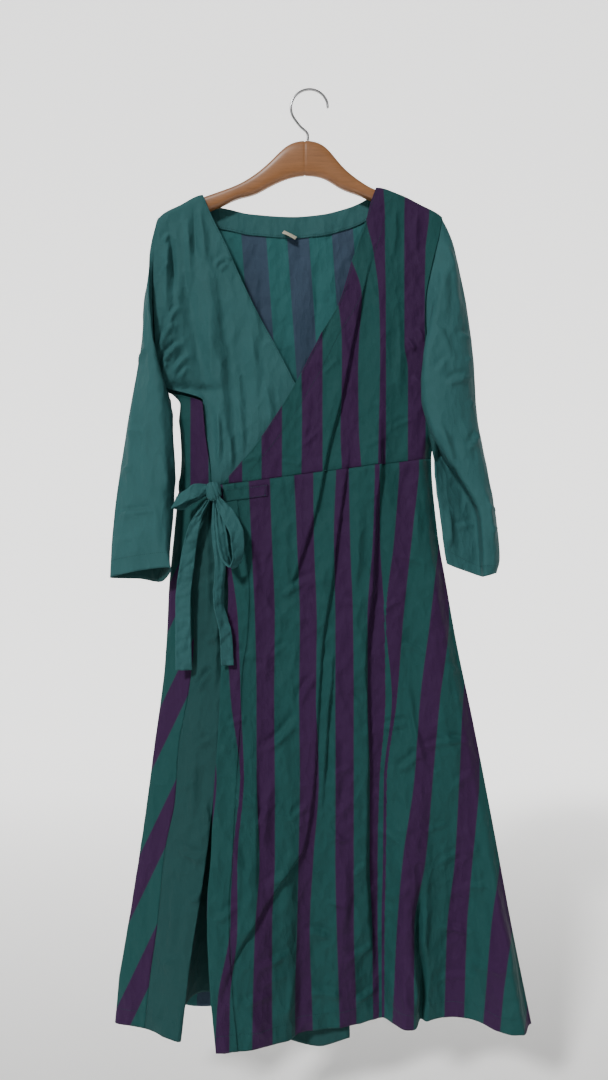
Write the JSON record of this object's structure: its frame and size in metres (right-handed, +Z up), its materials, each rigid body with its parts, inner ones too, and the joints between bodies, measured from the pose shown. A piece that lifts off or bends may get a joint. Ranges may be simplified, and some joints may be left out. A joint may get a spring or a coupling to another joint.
{
  "type": "wrap dress on a wooden hanger",
  "caption": "Wrap dress with a deep V neck, three-quarter sleeves, a striped skirt and a bow at the waist, hanging on a wooden hanger.",
  "frame": {"origin": "the underside of the hook's crown, where a rail or a wall hook carries the hanger", "axes": "+X to the viewer's right, +Y to the back of the dress, +Z up"},
  "size_m": [0.5825, 0.1135, 1.3165],
  "materials": {
    "green_cloth": "matt plain weave",
    "striped_cloth": "matt plain weave with broad stripes",
    "label_tape": "woven tape, blank",
    "hanger_wood": "satin lacquered beech",
    "hook_steel": "polished steel wire"
  },
  "bodies": {
    "root": {"bodice_front_over": "striped_cloth", "bodice_front_under": "green_cloth", "bodice_back": "striped_cloth", "skirt_front_over": "striped_cloth", "skirt_front_over_border": "green_cloth", "skirt_front_under": "green_cloth", "skirt_back": "striped_cloth", "sleeve_right": "green_cloth", "sleeve_left": "green_cloth", "back_neck_facing": "green_cloth", "neck_label": "label_tape", "waist_tie_base": "green_cloth", "waist_tie_knot": "green_cloth", "waist_tie_loop_left": "green_cloth", "waist_tie_loop_right": "green_cloth", "waist_tie_tail_left": "green_cloth", "waist_tie_tail_right": "green_cloth", "hanger_body": "hanger_wood", "hanger_hook": "hook_steel"}
  },
  "joints": []
}
